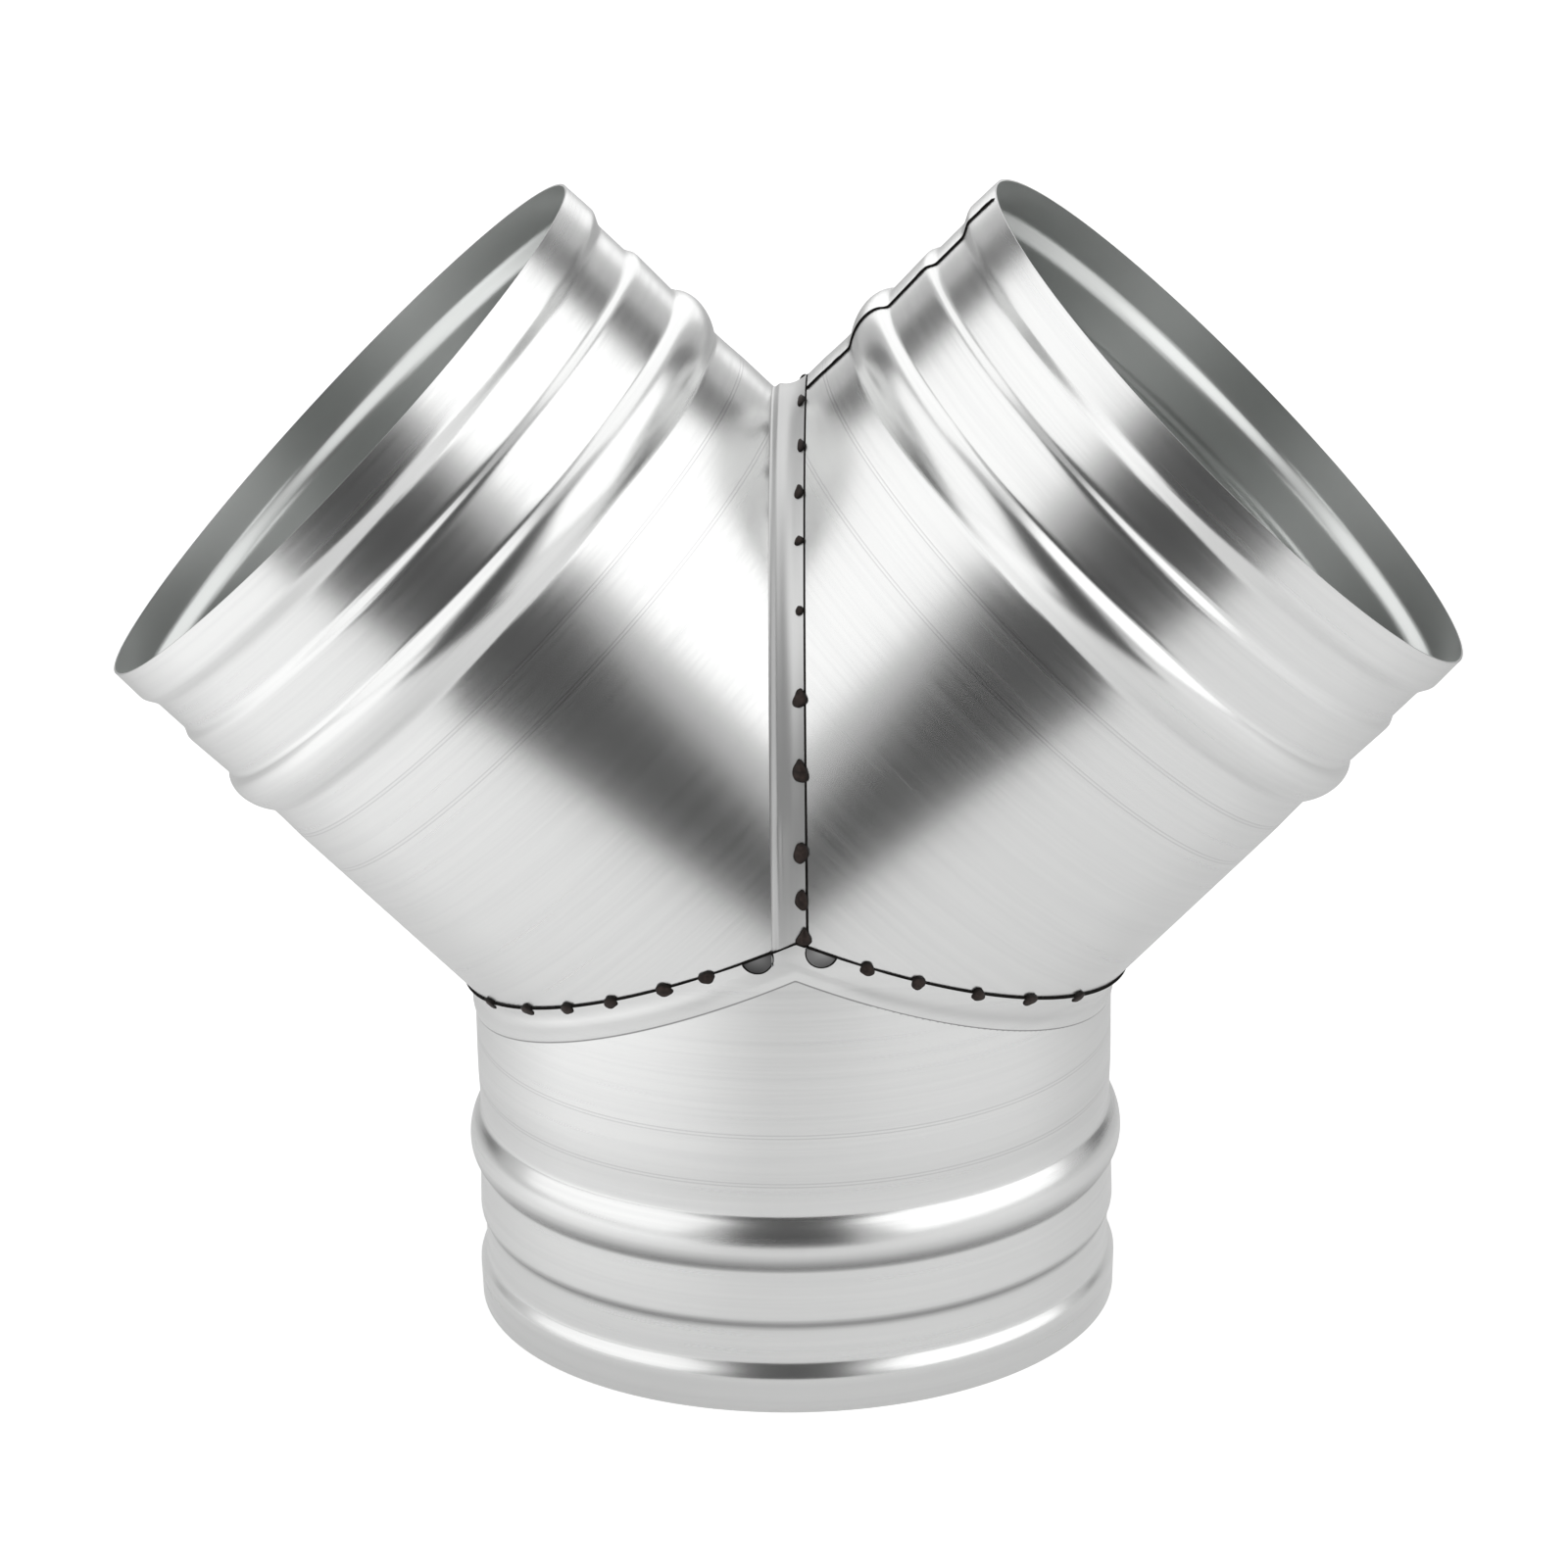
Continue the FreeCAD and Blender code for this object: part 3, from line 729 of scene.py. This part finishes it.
def tack_weld(place, outward, along, half_length, half_width, height, seed, taper=0.0):
    """Weld as a lumpy dome over a foot: an ellipsoid about a place, swollen by three low waves.

    Its foot goes as deep as the dome is high, and the taper narrows it towards its far end.
    """
    side = np.cross(outward, along)
    columns, rows = 24, 11
    around = np.arange(columns) / columns * 2 * math.pi
    level, turn = np.meshgrid(np.linspace(-1.0, 1.0, rows), around)
    swell = 1 + 0.08 * np.sin(2 * turn + 1.7 * seed) + 0.06 * np.sin(3 * turn + 2.9 * seed)
    swell = swell + 0.04 * np.sin(5 * turn + 4 * level + seed)
    upper = np.clip(level, 0, 1) * math.pi / 2
    reach = np.maximum(np.cos(upper), 0.03) * swell
    lift = np.where(level < 0, level, np.sin(upper)) * height
    narrow = 1 - taper * reach * np.cos(turn)
    points = place + (half_length * reach * np.cos(turn))[..., None] * along
    points = points + (half_width * reach * narrow * np.sin(turn))[..., None] * side
    points = points + lift[..., None] * outward
    faces = loop_faces(columns, rows, True).reshape(columns, rows, 4)[:, :-1].reshape(-1, 4)
    row = np.arange(columns // 2 - 1)
    cap = np.stack([row, row + 1, columns - 2 - row, columns - 1 - row], axis=1) * rows
    faces = np.concatenate([faces, cap[:, ::-1], cap + rows - 1])
    flat_points = points.reshape(-1, 3)
    # The last value is the painted shade of the foot: 1 at the foot, 0 at the crown.
    return flat_points, faces, np.zeros((len(flat_points), 2)), (1 - np.sin(upper)).ravel()


class DUCT_OT_trunk(bpy.types.Operator):
    """Roll the trunk's sheet with its collar"""
    bl_idname = "duct.trunk"
    bl_label = "Trunk sleeve"

    def execute(self, context):
        sheets, seams = context.scene.duct_sheets, context.scene.duct_seams
        outer, angle, inside_and_painted_shade = trunk_grid(sheets, seams)
        shell = rolled_shell(sheets, outer, angle, math.pi, inside_and_painted_shade)
        make_piece("trunk_sheet", [shell], "brushed_zinc", ["trunk_sleeve"])
        return {"FINISHED"}


class DUCT_OT_branches(bpy.types.Operator):
    """Roll the two branches' sheets and the left one's fold over the throat"""
    bl_idname = "duct.branches"
    bl_label = "Branches"

    def execute(self, context):
        sheets, seams = context.scene.duct_sheets, context.scene.duct_seams
        for side, name, lap in ((LEFT, "left", seams.left_lap_angle),
                                (RIGHT, "right", seams.right_lap_angle)):
            shells = [rolled_shell(sheets, *branch_body(sheets, side), math.radians(lap))]
            if side == LEFT:
                fold, thickness, around, along, inside_and_painted_shade = throat_fold(sheets, seams)
                shells.append(outward_shell(fold, thickness, False, around, along, inside_and_painted_shade))
            make_piece(name + "_branch_sheet", shells, "brushed_zinc", [name + "_branch"])
        return {"FINISHED"}


def on_collar_edge(sheets, seams, x, front):
    """Place on the collar's edge at a place along X, its outward direction and the edge's own direction."""
    wide = sheets.sleeve_radius + sheets.sheet

    def place_at(x):
        height = roof(x, seams.left_lip, seams.right_lip)
        gap = off_axis(x, height, False)
        return np.array([x, -front * math.sqrt(wide ** 2 - gap ** 2), float(height)]), float(gap)

    place, gap = place_at(x)
    way = normalised(place_at(x + 0.05)[0] - place_at(x - 0.05)[0])
    throat = branch_frame(LEFT if x < 0 else RIGHT)[1]
    outward = (throat * gap + np.array([0, place[1], 0])) / wide
    return place, outward, way


def lap_path(sheets, side, angle, last):
    """Line along a sleeve at one angle, over its rings, and its outward direction."""
    distance = np.linspace(LAP_START, last, LAP_POINTS)
    radius = sheets.sleeve_radius + ring_rise(sheets, distance) + 0.02
    if side:
        path = branch_points(side, radius, angle, BRANCH_LENGTH - distance)
        outward = branch_points(side, 1.0, angle, 0.0) - MEETING
    else:
        outward = np.array([math.sin(angle), -math.cos(angle), 0])
        path = radius[:, None] * outward + distance[:, None] * np.array([0, 0, 1.0])
    return path, np.broadcast_to(outward, path.shape)


def notch_dish(sheets, seams, place, unit, down):
    """Hollow of one cut-out: a half disc about a place on the collar's edge.

    Its height above the branch grows with the distance from the middle to the power of 2.2, up to the
    collar, times the root of the sine of the turn.
    """
    centre_height = roof(place, seams.left_lip, seams.right_lip)
    share, turn = np.meshgrid(np.linspace(0.04, 1.0, 14), np.linspace(math.pi, 0, 33))
    reach = share * seams.notch_radius
    x = place + reach * (np.cos(turn) * unit[0] + np.sin(turn) * down[0])
    z = centre_height + reach * (np.cos(turn) * unit[1] + np.sin(turn) * down[1])
    gap = off_axis(x, z, False)
    radius = sheets.sleeve_radius + 0.05 + (sheets.sheet - 0.12) * share ** 2.2 * np.sin(turn) ** 0.5
    return np.stack([x, -np.sqrt(radius ** 2 - gap ** 2), z], axis=2)


class DUCT_OT_notches(bpy.types.Operator):
    """Press the hollows of the collar's two cut-outs"""
    bl_idname = "duct.notches"
    bl_label = "Cut-outs"

    def execute(self, context):
        sheets, seams = context.scene.duct_sheets, context.scene.duct_seams
        shells = []
        for place, unit, down in notches(seams):
            dish = notch_dish(sheets, seams, place, unit, down)
            zeros = np.zeros(dish.shape[:2])
            if np.sum(grid_normals(dish, False)[..., 1]) > 0:
                dish = dish[::-1]
            shell = sheet_shell(dish, zeros + 0.15, False, zeros, zeros)
            # Painted shade of the hollow: darker outwards towards the collar, and darker in the left one.
            outward = np.linspace(0.04, 1.0, dish.shape[1]) * 0.4 + (0.6 if place < 0 else 0.3)
            shade = np.tile(np.concatenate([outward, outward[::-1]]), dish.shape[0])
            shells.append((*shell, shade))
        make_piece("notch_hollows", shells, "painted_shade_hollow", [])
        return {"FINISHED"}


class DUCT_OT_edges(bpy.types.Operator):
    """Draw the line of painted shade along each cut edge and lap"""
    bl_idname = "duct.edges"
    bl_label = "Edge lines"

    def execute(self, context):
        sheets, seams = context.scene.duct_sheets, context.scene.duct_seams
        width = seams.line_width
        collar = trunk_grid(sheets, seams)[0]
        outward = outward_normals(collar, True, collar.reshape(-1, 3).mean(axis=0))[:, -1]
        rim = collar[:, -1] - outward * sheets.sheet * 0.45
        lines = [painted_shade_line(rim, outward, width * 0.8, sheets.sheet * 1.15, True)]
        reach = 1.1 * seams.notch_radius * COS_HALF
        for first, last, lift, front in ((seams.left_notch - reach, seams.left_notch + reach, -0.27, 1),
                                         (seams.right_notch - reach, seams.right_notch + reach, -0.27, 1),
                                         (-3.4, 5.2, 0.15, 1), (-3.4, 5.2, 0.15, -1)):
            across = [on_collar_edge(sheets, seams, value, front) for value in np.linspace(first, last, 21)]
            path = np.array([point + outward * lift for point, outward, _ in across])
            outwards = np.array([outward for _, outward, _ in across])
            lines.append(painted_shade_line(path, outwards, width, sheets.sheet, False))
        fold = throat_fold(sheets, seams)[0]
        outward = outward_normals(fold, False, MEETING)[:, -1]
        rim = fold[:, -1] - outward * sheets.sheet * 0.4 + np.array([0.22, 0, 0])
        lines.append(painted_shade_line(rim, outward, 0.8, sheets.sheet * 1.1, False))
        throat_end = BRANCH_LENGTH - sheets.sleeve_radius - seams.throat_lap * DIAGONAL
        for side, angle, last, height, sunk in ((RIGHT, seams.right_lap_angle, throat_end, 0.9, 0.0),
                                                (LEFT, seams.left_lap_angle, 70.0, 0.4, 0.0),
                                                (0, 180.0, 100.0, 0.08, 0.03)):
            path, outward = lap_path(sheets, side, math.radians(angle), last)
            lines.append(painted_shade_line(path - outward * sunk, outward, width, height, False))
        make_piece("seam_edges", lines, "painted_shade_edge", [])
        return {"FINISHED"}


class DUCT_OT_welds(bpy.types.Operator):
    """Set the tack welds along the collar, the throat and the laps"""
    bl_idname = "duct.welds"
    bl_label = "Tack welds"

    def execute(self, context):
        sheets, seams = context.scene.duct_sheets, context.scene.duct_seams
        wide = sheets.sleeve_radius + sheets.sheet
        collar_welds = []
        left_tacks = (-72.3, -62.4, -52.2, -41.4, -28.4, -18.3)
        right_tacks = (19.5, 31.3, 45.4, 57.8, 69.6)
        below_edge = 0.4
        for x in left_tacks + right_tacks:
            for front in (1, -1):
                place, outward, edge_way = on_collar_edge(sheets, seams, x, front)
                down = np.cross(outward, edge_way)
                place = place - down * np.sign(down[2]) * below_edge
                size = 1 + 0.1 * math.sin(7.0 * x)
                collar_welds.append(tack_weld(place, outward, edge_way, seams.tack_length * size,
                                              seams.tack_width, seams.tack_height, x + front))
        throat_welds = []
        throat_tacks = ((7.6, 2.4, 1.0), (20.7, 2.2, 0.85), (29.9, 1.8, 1.2), (38.2, 1.2, 1.1),
                        (48.5, 1.1, 1.0), (60.0, 2.2, 1.6), (69.0, 2.75, 1.7), (78.9, 2.6, 1.65),
                        (84.7, 2.3, 1.6))
        crest_shift, shift_until = 10, 35
        for turn, half_length, half_width in throat_tacks:
            for front in (1, -1):
                shifted_back = turn + crest_shift * max(0, 1 - turn / shift_until)
                angle = math.radians(turn if front > 0 else -shifted_back)
                outward = branch_points(RIGHT, 1.0, angle, 0.0) - MEETING
                inside_edge = 0.62 if turn > 50 else 0.95
                x = seams.throat_lap - half_width * inside_edge
                reach = (x + wide * math.cos(angle) * COS_LEAN) * DIAGONAL
                place = branch_points(RIGHT, wide, angle, reach)
                seam_way = normalised(np.cross(outward, np.array([1.0, 0, 0])))
                seam_way *= np.sign(seam_way[2])
                throat_welds.append(tack_weld(place, outward, seam_way, half_length, half_width,
                                              seams.tack_height * min(1, half_width), turn + front, 0.25))
        for front in (1, -1):
            place, outward, _ = on_collar_edge(sheets, seams, seams.throat_lap - 0.55, front)
            place = place + np.array([0, 0, 2.3])
            throat_welds.append(tack_weld(place, np.array([0, -front, 0.0]), np.array([0, 0, 1.0]),
                                          2.15, 1.7, 0.7, 5.0, 0.5))
        lap_welds = []
        last, beside = 60.0, 0.7
        for side, angle in ((0, 180.0 + beside), (LEFT, seams.left_lap_angle + beside),
                            (RIGHT, seams.right_lap_angle - beside)):
            path, outward = lap_path(sheets, side, math.radians(angle), last)
            for distance in (3.5, 26.0, 54.5):
                row = int(round((distance - LAP_START) / (last - LAP_START) * (LAP_POINTS - 1)))
                way = normalised(path[row + 1] - path[row - 1])
                lap_welds.append(tack_weld(path[row], outward[row], way, 1.9, 0.9, 0.25, distance))
        for name, welds in (("collar", collar_welds), ("throat", throat_welds), ("lap", lap_welds)):
            make_piece(name + "_tacks", welds, "oxidised_weld", [name + "_tack_welds"], 80)
        return {"FINISHED"}


class DUCT_OT_finishes(bpy.types.Operator):
    """Mix the finishes of the sheets, edges and welds"""
    bl_idname = "duct.finishes"
    bl_label = "Finishes"

    def execute(self, context):
        finish = context.scene.duct_finish
        zinc_material(finish)
        weld_material(finish)
        edge_material(finish)
        hollow_material(finish)
        return {"FINISHED"}


def stage_plane(name, corners, material):
    """Flat four-cornered piece of the stage."""
    mesh = bpy.data.meshes.new(name)
    mesh.from_pydata(corners, [], [(0, 1, 2, 3)])
    mesh.materials.append(material)
    plane = bpy.data.objects.new(name, mesh)
    bpy.context.scene.collection.objects.link(plane)
    return plane


def level_corners(places, height):
    """Corners of a level card over four places."""
    return [(x, y, height) for x, y in places]


def wall_corners(start, end, low, high):
    """Corners of an upright card between two places, from one height to another."""
    return [(*start, low), (*end, low), (*end, high), (*start, high)]


def soft_box(name, place, target, width, height, radiance):
    """Area lamp that faces a target; its power is its radiance times its area times pi."""
    lamp = bpy.data.lights.new(name, "AREA")
    lamp.shape = "RECTANGLE"
    lamp.size = width
    lamp.size_y = height
    lamp.energy = radiance * width * height * math.pi
    holder = bpy.data.objects.new(name, lamp)
    holder.location = place
    holder.rotation_euler = (Vector(target) - Vector(place)).to_track_quat("-Z", "Y").to_euler()
    bpy.context.scene.collection.objects.link(holder)
    holder.visible_camera = False


def seen_ray(tree):
    """1 for a ray from the camera, or one that metal or glass sends on, and 0 for a ray that only lights."""
    path = add_node(tree, "LightPath").outputs
    sent_on = calculated(tree, "MAXIMUM", path["Is Glossy Ray"], path["Is Transmission Ray"])
    return calculated(tree, "MAXIMUM", path["Is Camera Ray"], sent_on)


def floor_material(studio):
    """Pale floor that keeps shadows: a matt colour, plus a white of its own that only seen rays find.

    The metal finds it by the place across the floor, as painted light that is brighter towards the left lamp
    and darker in the middle, and the camera by the distance from the fitting.
    """
    material = bpy.data.materials.new("pale_floor")
    tree = empty_tree(material)
    place = add_node(tree, "TexCoord").outputs["Object"]
    parts = add_node(tree, "SeparateXYZ", {"Vector": place}).outputs
    # Painted light across the floor, seen only in the metal, fading out behind the fitting.
    across = ramp(tree, map_range(tree, parts["X"], -0.36, 0.36), (0.0, grey(studio.left_painted_light)),
                  (0.45, grey(studio.middle_painted_light)), (1.0, grey(studio.right_painted_light)))
    in_metal = calculated(tree, "MULTIPLY", across, map_range(tree, parts["Y"], -0.05, 0.25, 1.0, 0.0))
    away = add_node(tree, "VectorMath", {0: place}, operation="LENGTH").outputs["Value"]
    in_camera = map_range(tree, away, 0.1, 2.0, studio.floor_glow, studio.far_glow)
    from_camera = add_node(tree, "LightPath").outputs["Is Camera Ray"]
    level = mixed_with(tree, "FLOAT", from_camera, in_metal, in_camera)
    glow = add_node(tree, "Emission", {"Strength": calculated(tree, "MULTIPLY", seen_ray(tree), level)})
    matt = add_node(tree, "BsdfDiffuse", {"Color": (*studio.floor, 1.0)})
    end_with(tree, "Material", "AddShader", {0: matt.outputs["BSDF"], 1: glow.outputs["Emission"]})
    return material


def room_material(name, level):
    """Part of the room that shows one level of grey."""
    material = bpy.data.materials.new(name)
    end_with(empty_tree(material), "Material", "Emission", {"Strength": level})
    return material


def white_world(studio):
    """World that is white to the camera, pale in the metal and softer as a light."""
    world = bpy.data.worlds.new("white_room")
    tree = empty_tree(world)
    path = add_node(tree, "LightPath").outputs
    in_metal = calculated(tree, "MULTIPLY_ADD", path["Is Glossy Ray"], studio.room - studio.sky, studio.sky)
    seen = calculated(tree, "MAXIMUM", in_metal, path["Is Camera Ray"])
    end_with(tree, "World", "Background", {"Color": grey(1.0), "Strength": seen})
    bpy.context.scene.world = world


def photo_camera(studio):
    """Camera at the fitted place: its view's middle, distance, height angle, side angle and roll."""
    aim = Vector((-1.415, 0, 131.35)) * MM
    distance, height_angle, side_angle, roll = 1.3200, 0.3382, 0.0269, -0.0169
    flat = math.cos(height_angle)
    away = Vector((math.sin(side_angle) * flat, -math.cos(side_angle) * flat, math.sin(height_angle)))
    level_right = (-away).cross(Vector((0, 0, 1))).normalized()
    level_up = level_right.cross(-away)
    right = math.cos(roll) * level_right + math.sin(roll) * level_up
    up = -math.sin(roll) * level_right + math.cos(roll) * level_up
    camera = bpy.data.objects.new("camera", bpy.data.cameras.new("camera"))
    camera.data.lens = studio.lens
    camera.data.sensor_width = 36.0
    camera.data.clip_start = 0.01
    turned = Matrix((right, up, away)).transposed().to_4x4()
    camera.matrix_world = Matrix.Translation(aim + away * distance) @ turned
    bpy.context.scene.collection.objects.link(camera)
    bpy.context.scene.camera = camera


class DUCT_OT_studio(bpy.types.Operator):
    """Set the floor, the lamps and the camera"""
    bl_idname = "duct.studio"
    bl_label = "Studio"

    def execute(self, context):
        studio = context.scene.duct_studio
        reach = 6.0
        corners = level_corners(((-reach, -reach), (reach, -reach), (reach, reach), (-reach, reach)), 0)
        stage_plane("floor", corners, floor_material(studio))
        foot = 0.002
        dark_foot = ((-0.31, -0.46), (0.27, -0.46), (0.34, -0.95), (-0.38, -0.95))
        white_top = ((-0.6, -0.3), (0.6, -0.3), (0.6, 1.5), (-0.6, 1.5))
        dark = room_material("dark_room", studio.dark)
        gap = room_material("gap", studio.gap)
        white = room_material("white_room_part", studio.ceiling)
        for name, corners, material in (
                ("dark_floor", level_corners(dark_foot, foot), dark),
                ("dark_wall", wall_corners(dark_foot[3], dark_foot[2], foot, 1.6), dark),
                ("left_gap", wall_corners((-1.05, 0.62), (-0.78, 0.94), foot, 1.4), gap),
                ("right_gap", wall_corners((1.05, 0.62), (0.78, 0.94), foot, 1.4), gap),
                ("back_wall", wall_corners(white_top[3], white_top[2], 0.3, 1.6), white),
                ("ceiling", level_corners(white_top, 1.6), white)):
            card = stage_plane(name, corners, material)
            card.visible_camera = False
            card.visible_diffuse = False
            card.visible_shadow = False
        target = (0, 0, 0.15)
        soft_box("left_box", (-1.175, -0.43, 0.9), target, 2.1, 1.7, studio.left_lamp)
        soft_box("right_box", (1.175, -0.43, 0.9), target, 2.1, 1.7, studio.right_lamp)
        white_world(studio)
        photo_camera(studio)
        context.scene.view_settings.view_transform = "Standard"
        return {"FINISHED"}


class DUCT_PT_panel(bpy.types.Panel):
    """Steps of the duct splitter, in order"""
    bl_idname = "DUCT_PT_panel"
    bl_label = "Duct splitter"
    bl_space_type = "VIEW_3D"
    bl_region_type = "UI"
    bl_category = "Duct"

    def draw(self, context):
        for step in STEPS:
            self.layout.operator(step.bl_idname)
        for group in GROUPS:
            box = self.layout.box()
            for name in getattr(context.scene, group).bl_rna.properties.keys():
                if name not in ("rna_type", "name"):
                    box.prop(getattr(context.scene, group), name)


STEPS = (DUCT_OT_finishes, DUCT_OT_trunk, DUCT_OT_branches, DUCT_OT_notches, DUCT_OT_edges, DUCT_OT_welds,
         DUCT_OT_studio)
GROUPS = {"duct_sheets": DuctSheets, "duct_seams": DuctSeams, "duct_finish": DuctFinish,
          "duct_studio": DuctStudio}


def register():
    """Make the groups, steps and panel known, and hang the groups on the scene."""
    for kind in (*GROUPS.values(), *STEPS, DUCT_PT_panel):
        bpy.utils.register_class(kind)
    for name, kind in GROUPS.items():
        setattr(bpy.types.Scene, name, PointerProperty(type=kind))


def unregister():
    """Take all of it away again."""
    for name in GROUPS:
        delattr(bpy.types.Scene, name)
    for kind in (DUCT_PT_panel, *reversed(STEPS), *GROUPS.values()):
        bpy.utils.unregister_class(kind)


def main():
    """Run each step in order."""
    register()
    bpy.ops.duct.finishes()
    bpy.ops.duct.trunk()
    bpy.ops.duct.branches()
    bpy.ops.duct.notches()
    bpy.ops.duct.edges()
    bpy.ops.duct.welds()
    bpy.ops.duct.studio()


if __name__ == "__main__":
    main()
